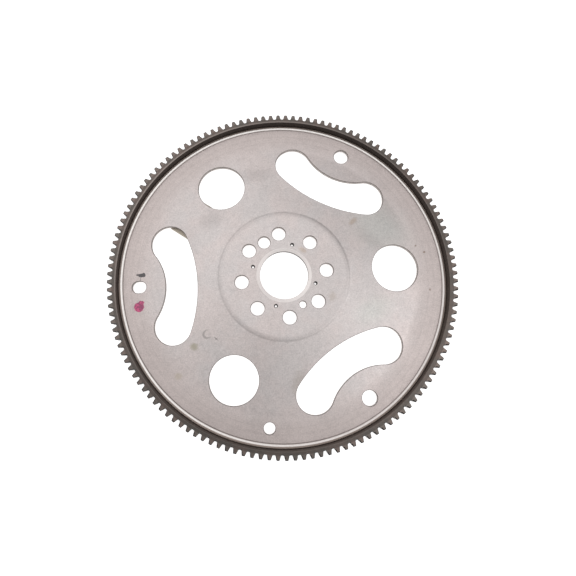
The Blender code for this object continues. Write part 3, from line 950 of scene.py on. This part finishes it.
class Graph(Nodes):
    """The node graph of a material. Lengths in it are millimetres."""

    def __init__(self, name):
        self.material = bpy.data.materials.new(name)
        self.material.use_nodes = True
        super().__init__(self.material.node_tree)
        self.shader = self.tree.nodes["Principled BSDF"]
        self.place = self.scaled(self.node("ShaderNodeTexCoord").outputs["Object"], 1.0 / MM)
        parts = self.node("ShaderNodeSeparateXYZ")
        self.set(parts.inputs[0], self.place)
        self.x, self.y, self.z = parts.outputs
        self.radius = self.math("SQRT", self.plus(self.times(self.x, self.x), self.times(self.y, self.y)))

    def noise(self, scale, detail=2.0, vector=None):
        """Smooth noise around 0.5 with features about 1 / scale millimetres wide."""
        node = self.node("ShaderNodeTexNoise")
        self.set(node.inputs["Vector"], vector or self.place)
        self.set(node.inputs["Scale"], scale)
        self.set(node.inputs["Detail"], detail)
        return node.outputs["Fac"]

    def centred(self, noise, amount):
        """The noise moved to lie around 0, times the amount."""
        return self.times(self.math("SUBTRACT", noise, 0.5), amount)

    def specks(self, scale, spread):
        """A factor around 1 that differs by the spread from speck to speck."""
        return self.remap(self.noise(scale, 3.0), 0.2, 0.8, 1.0 - spread, 1.0 + spread)

    def mix(self, share, first, second):
        node = self.node("ShaderNodeMix", data_type="RGBA")
        self.set(node.inputs["Factor"], share)
        self.set(node.inputs[6], first)
        self.set(node.inputs[7], second)
        return node.outputs[2]

    def tinted(self, colour, share, tint, strength):
        """The colour, mixed with a tint by up to the strength where the share is 1."""
        return self.mix(self.times(share, strength), colour, tint)

    def turning(self, scale):
        """Fine rings around the shaft, as noise that depends on the radius alone."""
        along = self.node("ShaderNodeCombineXYZ")
        self.set(along.inputs["X"], self.radius)
        return self.noise(scale, 2.0, along.outputs[0])

    def towards(self, angle):
        """1 on the side of the shaft at that angle, 0 square to it and -1 on the far side."""
        here = self.math("ARCTAN2", self.y, self.x)
        return self.math("COSINE", self.math("SUBTRACT", here, angle))

    def ring(self, radius, width, soft):
        """1 on a ring of that middle radius and width, fading over the soft length."""
        off = self.math("ABSOLUTE", self.math("SUBTRACT", self.radius, radius))
        return self.remap(off, width / 2.0 + soft, width / 2.0)

    def spot(self, place, size, turn, soft, wobble=0.0, wobble_scale=0.5):
        """1 inside a turned ellipse, fading over the soft share of its size, with an uneven edge."""
        node = self.node("ShaderNodeMapping", vector_type="TEXTURE")
        self.set(node.inputs["Vector"], self.place)
        node.inputs["Location"].default_value = (*place, 0.0)
        node.inputs["Rotation"].default_value = (0.0, 0.0, math.radians(turn))
        node.inputs["Scale"].default_value = (*size, SPOT_DEPTH)
        length = self.node("ShaderNodeVectorMath", operation="LENGTH")
        self.set(length.inputs[0], node.outputs[0])
        away = length.outputs["Value"]
        if wobble:
            away = self.plus(away, self.centred(self.noise(wobble_scale), 2.0 * wobble))
        return self.remap(away, 1.0, 1.0 - soft)

    def marks(self, marks):
        """The strongest of some spots, each with its strength last."""
        strongest = 0.0
        for *spot, strength in marks:
            strongest = self.greater(strongest, self.times(self.spot(*spot), strength))
        return strongest

    def bump(self, scale, strength, distance):
        node = self.node("ShaderNodeBump")
        self.set(node.inputs["Height"], self.noise(scale, 3.0))
        node.inputs["Strength"].default_value = strength
        node.inputs["Distance"].default_value = distance
        self.set(self.shader.inputs["Normal"], node.outputs["Normal"])

    def finished(self, colour, roughness, metallic, specular=0.5):
        self.set(self.shader.inputs["Base Color"], colour)
        self.set(self.shader.inputs["Roughness"], roughness)
        self.set(self.shader.inputs["Metallic"], metallic)
        self.shader.inputs["Specular IOR Level"].default_value = specular
        return self.material


# Depth of a spot through the metal, far more than the part is thick
SPOT_DEPTH = 1000.0
PLATE_COLOUR = (0.600, 0.537, 0.522)
PLATE_COOL = (0.576, 0.532, 0.522)
PLATE_RIM = (0.606, 0.530, 0.510)
# Painted shade: the sheet is darker towards its rim
RIM_SHADE_FACTOR = 0.89
# Rim band: burnished metal painted nearly white as a highlight, with painted shade on one side
BURNISH_AND_HIGHLIGHT = (0.90, 0.86, 0.83)
BAND_SHADED_SIDE = math.radians(310.0)
BAND_SIDE_SHADE = -0.35
PAINT_COLOUR = (0.57, 0.060, 0.19)
PAINT_DARK = (0.26, 0.03, 0.11)
PAINT_STRENGTH = 0.92
# Tints: colour, strength
COOL_TINT = ((0.548, 0.538, 0.516), 0.80)
COIN_TINT = ((0.80, 0.75, 0.73), 0.70)
# Painted shade in the rim's groove
GROOVE_SHADE_TINT = ((0.16, 0.13, 0.12), 0.55)
# Painted shade where the rim's sheet bends down beside the ring gear
LIP_SHADE_TINT = ((0.42, 0.34, 0.29), 0.75)
SCUFF_TINT = ((0.26, 0.24, 0.23), 0.85)
INK_TINT = ((0.060, 0.055, 0.060), 0.93)
# Mottling of the sheet, from clouds to grain: scale of the noise, amount
MOTTLING = ((0.03, 0.16), (0.28, 0.20), (0.95, 0.55))
# Dark turned lines on the rim, and painted shade on the step round the hub: radius, width, soft length,
# change
TURNED_LINES_AND_STEP_SHADE = (
    (121.8, 0.2, 0.35, -0.07),
    (126.3, 0.2, 0.35, -0.07),
    (127.2, 0.2, 0.35, -0.07),
    # Painted shade on the step round the hub
    (54.1, 0.5, 0.8, -0.12),
    (52.6, 1.4, 1.6, -0.05),
)
# Cooler areas of the sheet: place, size, turn in degrees
COOL_AREAS = (
    ((82.0, 44.0), (44.0, 30.0), -40.0),
    ((74.0, -28.0), (26.0, 16.0), 30.0),
)
# Patches of painted shade and painted light on the sheet: place, size, turn in degrees, factor
SHADE_AND_LIGHT_PATCHES = (
    ((-24.0, 90.0), (20.0, 11.0), 10.0, 0.86),
    ((-62.0, 48.0), (16.0, 12.0), 35.0, 0.86),
    ((72.0, 33.0), (22.0, 10.0), -35.0, 0.89),
    ((40.0, 68.0), (22.0, 9.0), -30.0, 0.94),
    ((-14.0, -118.0), (34.0, 13.0), 5.0, 0.94),
    ((-92.0, -72.0), (26.0, 14.0), -40.0, 0.95),
    ((60.0, -28.0), (18.0, 9.0), 60.0, 1.05),
    ((96.0, -58.0), (20.0, 10.0), 60.0, 1.06),
    ((-80.0, 8.0), (20.0, 10.0), 90.0, 1.03),
)
AREA_SOFTNESS = 0.9
# Stains: place, size, turn in degrees, colour, strength
STAINS = (
    ((15.5, 21.3), (5.5, 2.8), -35.0, (0.42, 0.30, 0.20), 0.38),
    ((59.0, 47.5), (6.0, 3.2), 40.0, (0.40, 0.29, 0.20), 0.45),
    ((39.4, -17.8), (4.4, 6.0), -20.0, (0.36, 0.29, 0.22), 0.30),
    ((-72.5, -58.5), (4.6, 4.4), 0.0, (0.36, 0.33, 0.25), 0.75),
    ((-84.5, -81.8), (4.4, 4.0), 0.0, (0.42, 0.36, 0.27), 0.45),
    ((12.0, -88.0), (8.5, 15.0), -10.0, (0.36, 0.30, 0.25), 0.35),
    ((120.0, 22.0), (1.7, 1.2), 20.0, (0.20, 0.14, 0.10), 0.80),
    ((113.0, 27.6), (1.2, 1.0), 0.0, (0.20, 0.14, 0.10), 0.70),
    ((122.8, -10.4), (1.1, 1.5), 0.0, (0.20, 0.14, 0.10), 0.70),
)
STAIN_SOFTNESS = 0.75
STAIN_WOBBLE = 0.35
# Marks: place, size, turn in degrees, soft share, wobble of the edge, the wobble's scale, strength
# A dark ink stroke beside the close hole, thin at its left end, with a fine line down to the hole
INK_MARKS = (
    ((-118.3, 0.2), (3.0, 1.8), 4.0, 0.22, 0.2, 0.8, 1.0),
    ((-116.6, 0.6), (1.7, 2.0), 20.0, 0.2, 0.2, 0.8, 1.0),
    ((-121.0, 0.5), (2.3, 1.0), -4.0, 0.4, 0.3, 0.8, 0.9),
    ((-119.0, -3.0), (0.4, 3.0), -4.0, 0.7, 0.2, 0.8, 0.7),
)
# A dab of magenta marking paint with a ragged edge
PAINT_DAB = (
    ((-117.6, -23.0), (3.0, 2.0), 12.0, 0.2, 0.42, 0.75, 1.0),
    ((-118.8, -26.4), (4.3, 4.4), 0.0, 0.16, 0.32, 0.7, 1.0),
)
# Two faint scuffs: an arc, which is a spot less its hollow, and a small cross
SCUFF_ARC = (((-62.0, -48.5), (4.6, 4.0), 20.0, 0.2, 0.15, 0.6, 0.7),)
SCUFF_HOLLOW = (((-60.8, -48.0), (4.0, 3.3), 20.0, 0.2, 0.15, 0.6, 0.7),)
SCUFF_CROSS = (
    ((-55.0, -52.0), (2.9, 0.6), -40.0, 0.6, 0.3, 0.8, 1.0),
    ((-54.6, -52.2), (2.0, 0.5), 40.0, 0.6, 0.3, 0.8, 1.0),
)

# Hole walls: partly the cut metal's own darker grey, partly painted shade inside the holes
WALL_COLOUR_AND_SHADE = (0.30, 0.27, 0.255)
# Painted shade on the rolled edges where the sheet turns into the holes
ROLL_SHADE_COLOUR = (0.13, 0.11, 0.10)
BORE_SHADE = -0.88
TOOLING_SHADE = -0.93
TOOLING_SHADE_SIZE = (2.4, 2.4)
GEAR_COLOUR = (0.150, 0.118, 0.105)
GEAR_COOL = (0.118, 0.104, 0.094)
# Light line on the ring's inner edge: worn chamfer with a painted highlight, stronger towards the lit side
GEAR_EDGE_WEAR_AND_HIGHLIGHT = (0.30, 0.26, 0.24)
GEAR_EDGE_WIDTH = 0.6
GEAR_LIT_SIDE = math.radians(168.0)
# Sides of the ring with painted shade or painted light: direction, change
GEAR_SHADED_AND_LIT_SIDES = (
    (math.radians(247.0), -0.33),
    (math.radians(338.0), 0.28),
)
TOOTH_FRONT_FROM = 140.3
TOOTH_FRONT_GAIN = 0.42
# Inner wall of the ring: dark gear steel, painted darker still as shade, darkest on one side
GEAR_BORE_SHADE_COLOUR = (0.062, 0.047, 0.040)
BORE_SHADED_SIDE = math.radians(80.0)
BORE_SIDE_SHADE = -0.48
FLANK_COLOUR = (0.150, 0.128, 0.118)
# Painted shade: the teeth's bevels are nearly black
BEVEL_SHADE_COLOUR = (0.005, 0.0045, 0.004)
WEIGHT_COLOURS = ((0.46, 0.41, 0.34), (0.36, 0.31, 0.26))
WELD_COLOURS = ((0.20, 0.18, 0.17), (0.10, 0.085, 0.08))
FINE_BUMP = 0.00008
COARSE_BUMP = 0.0001


def sheet_colour(graph):
    """Satin steel with mottling, cooler areas, painted shade towards the rim, patches of painted shade and
    light, faint turned lines, painted shade on the step round the hub, and stains.
    """
    colour = graph.mix(graph.remap(graph.noise(0.045), 0.35, 0.65), PLATE_COLOUR, PLATE_COOL)
    colour = graph.mix(graph.remap(graph.radius, 100.0, 130.0), colour, PLATE_RIM)
    for area in COOL_AREAS:
        colour = graph.tinted(colour, graph.spot(*area, AREA_SOFTNESS), *COOL_TINT)
    level = 1.0
    for scale, amount in MOTTLING:
        level = graph.plus(level, graph.centred(graph.noise(scale, 3.0), amount))
    # Painted shade that darkens the outer rim of the sheet
    level = graph.times(level, graph.remap(graph.radius, 108.0, 122.0, 1.0, RIM_SHADE_FACTOR))
    # Painted shade and painted light in soft patches over the sheet
    for *patch, factor in SHADE_AND_LIGHT_PATCHES:
        level = graph.times(level, graph.changed(graph.spot(*patch, AREA_SOFTNESS), factor - 1.0))
    # Turned lines on the rim, and painted shade on the hub's step
    for *line, change in TURNED_LINES_AND_STEP_SHADE:
        level = graph.times(level, graph.changed(graph.ring(*line), change))
    colour = graph.scaled(colour, level)
    for place, size, turn, stain, strength in STAINS:
        inside = graph.spot(place, size, turn, STAIN_SOFTNESS, STAIN_WOBBLE)
        colour = graph.tinted(colour, inside, stain, strength)
    return colour


def burnish_and_highlight_band(graph, on_front):
    """The share of burnished metal and painted highlight on the rim's band, cut by painted shade on one
    side.
    """
    band = graph.times(graph.ring(BAND_RADIUS / MM, BAND_WIDTH / MM - 0.25, 0.3), on_front)
    band = graph.times(band, graph.remap(graph.noise(0.35), 0.3, 0.6, 0.88, 1.0))
    return graph.times(band, graph.changed(graph.greater(graph.towards(BAND_SHADED_SIDE), 0.0), BAND_SIDE_SHADE))


def turned_details(graph, colour, band, on_front):
    """The coined ring of the bore, the rim's band with its burnish and painted highlight, and painted
    shade in the rim's groove and on its lip.
    """
    coin = graph.ring((BORE_RADIUS + COIN_WIDTH / 2.0) / MM, COIN_WIDTH / MM, 0.4)
    colour = graph.tinted(colour, coin, *COIN_TINT)
    # Painted shade in the rim's groove
    groove = graph.times(graph.ring(GROOVE_RADIUS / MM, GROOVE_WIDTH / MM, 0.3), on_front)
    colour = graph.tinted(colour, groove, *GROOVE_SHADE_TINT)
    # Painted shade on the rim's lip beside the ring gear
    lip_from = (BAND_RADIUS + BAND_WIDTH / 2.0) / MM
    lip = graph.times(graph.remap(graph.radius, lip_from, lip_from + 0.3), on_front)
    colour = graph.tinted(colour, lip, *LIP_SHADE_TINT)
    # The band's burnish and painted highlight over the rest
    return graph.mix(band, colour, BURNISH_AND_HIGHLIGHT)


def plate_material():
    graph = Graph("satin plate steel")
    on_front = graph.remap(graph.z, (RIM_Z - SHEET_THICKNESS / 2.0) / MM, RIM_Z / MM)
    band = burnish_and_highlight_band(graph, on_front)
    colour = turned_details(graph, sheet_colour(graph), band, on_front)
    arc = graph.math("SUBTRACT", graph.marks(SCUFF_ARC), graph.marks(SCUFF_HOLLOW))
    colour = graph.tinted(colour, graph.greater(arc, graph.marks(SCUFF_CROSS)), *SCUFF_TINT)
    ink = graph.times(graph.marks(INK_MARKS), on_front)
    colour = graph.tinted(colour, ink, *INK_TINT)
    paint = graph.times(graph.marks(PAINT_DAB), on_front)
    tone = graph.mix(graph.remap(graph.noise(0.5, 3.0), 0.4, 0.6), PAINT_COLOUR, PAINT_DARK)
    colour = graph.tinted(colour, paint, tone, PAINT_STRENGTH)
    metallic = graph.changed(graph.greater(ink, paint), -0.7, 0.85)
    roughness = graph.changed(band, -0.02, graph.remap(graph.noise(0.4, 3.0), 0.2, 0.8, 0.34, 0.44))
    graph.bump(1.1, 0.25, FINE_BUMP)
    return graph.finished(colour, roughness, metallic)


def tooling_shade(graph):
    """A factor that is small in the tooling holes, as painted shade on their walls and edges, and 1
    elsewhere.
    """
    factor = 1.0
    for circle, angle, radius, stretch in round_holes():
        if radius == TOOLING_HOLE_RADIUS:
            inside = graph.spot(tuple(polar(circle, angle) / MM), TOOLING_SHADE_SIZE, 0.0, 0.1)
            factor = graph.times(factor, graph.changed(inside, TOOLING_SHADE))
    return factor


# Painted shade on the hole walls, strongest in the bore and the tooling holes
def cut_wall_material():
    graph = Graph("sheared steel with painted shade")
    at_bore = graph.remap(graph.radius, BORE_RADIUS / MM + 0.8, BORE_RADIUS / MM + 0.2)
    level = graph.times(graph.specks(0.6, 0.3), graph.changed(at_bore, BORE_SHADE))
    colour = graph.scaled(WALL_COLOUR_AND_SHADE, graph.times(level, tooling_shade(graph)))
    return graph.finished(colour, roughness=0.5, metallic=0.7)


# Painted shade on the rolled edges of the holes
def rolled_edge_material():
    graph = Graph("rolled hole edge with painted shade")
    colour = graph.scaled(ROLL_SHADE_COLOUR, graph.times(graph.specks(0.7, 0.3), tooling_shade(graph)))
    return graph.finished(colour, roughness=0.45, metallic=0.85)


def gear_material():
    graph = Graph("dark gear steel")
    colour = graph.mix(graph.remap(graph.noise(0.12, 3.0), 0.35, 0.65), GEAR_COLOUR, GEAR_COOL)
    grain = graph.centred(graph.noise(1.2, 3.0), 0.6)
    faint = graph.centred(graph.turning(2.2), 0.35)
    colour = graph.scaled(colour, graph.plus(graph.plus(grain, faint), 1.0))
    at_front = graph.remap(graph.z, (RING_FRONT_Z - RING_EDGE_CHAMFER) / MM - 0.3, RING_FRONT_Z / MM - 0.4)
    # Painted light: stronger towards one side of the ring
    lit_side = graph.towards(GEAR_LIT_SIDE)
    # Worn chamfer with a painted highlight on the ring's inner edge
    edge = graph.ring((RING_BORE_RADIUS + RING_EDGE_CHAMFER * 0.6) / MM, GEAR_EDGE_WIDTH, 0.35)
    edge = graph.times(graph.times(edge, at_front), graph.changed(lit_side, 0.35, 0.4))
    colour = graph.mix(edge, colour, GEAR_EDGE_WEAR_AND_HIGHLIGHT)
    on_teeth = graph.remap(graph.radius, TOOTH_FRONT_FROM, TOOTH_FRONT_FROM + 0.6)
    colour = graph.scaled(colour, graph.changed(graph.times(on_teeth, at_front), TOOTH_FRONT_GAIN))
    # Painted light over the whole ring on its lit side
    colour = graph.scaled(colour, graph.changed(lit_side, 0.16, 1.02))
    # Painted shade and painted light on sides of the ring
    for facing, change in GEAR_SHADED_AND_LIT_SIDES:
        near = graph.math("POWER", graph.greater(graph.towards(facing), 0.0), 2.0)
        colour = graph.scaled(colour, graph.changed(near, change))
    graph.bump(1.6, 0.3, FINE_BUMP)
    roughness = graph.remap(graph.noise(0.5, 3.0), 0.2, 0.8, 0.42, 0.58)
    return graph.finished(colour, roughness, metallic=0.8)


def gear_bore_material():
    graph = Graph("gear bore with painted shade")
    # Painted shade on the ring's inner wall, strongest on one side
    side = graph.changed(graph.towards(BORE_SHADED_SIDE), BORE_SIDE_SHADE)
    colour = graph.scaled(GEAR_BORE_SHADE_COLOUR, graph.times(graph.specks(0.8, 0.4), side))
    return graph.finished(colour, roughness=0.6, metallic=0.3, specular=0.3)


def gear_flank_material():
    graph = Graph("dark tooth flank")
    colour = graph.scaled(FLANK_COLOUR, graph.specks(0.7, 0.4))
    return graph.finished(colour, roughness=0.5, metallic=0.2, specular=0.3)


# Painted shade on the teeth's bevels
def gear_bevel_shade_material():
    graph = Graph("tooth bevel in painted shade")
    colour = graph.scaled(BEVEL_SHADE_COLOUR, graph.specks(0.9, 0.5))
    return graph.finished(colour, roughness=0.6, metallic=0.0, specular=0.1)


def weight_material():
    graph = Graph("weight steel")
    graph.bump(1.3, 0.3, COARSE_BUMP)
    return graph.finished(graph.mix(graph.noise(0.5, 3.0), *WEIGHT_COLOURS), roughness=0.5, metallic=0.6)


def weld_material():
    graph = Graph("weld steel")
    graph.bump(2.0, 0.4, COARSE_BUMP)
    roughness = graph.remap(graph.noise(1.0), 0.2, 0.8, 0.35, 0.6)
    return graph.finished(graph.mix(graph.noise(0.9, 3.0), *WELD_COLOURS), roughness, metallic=0.9)


make_camera()
make_studio()
build_plate([plate_material(), cut_wall_material(), rolled_edge_material()])
build_ring_gear([gear_material(), gear_bore_material(), gear_bevel_shade_material(), gear_flank_material()])
build_weight(weight_material())
weld = weld_material()
for bead_index in range(BEAD_COUNT):
    build_bead(bead_index, weld)
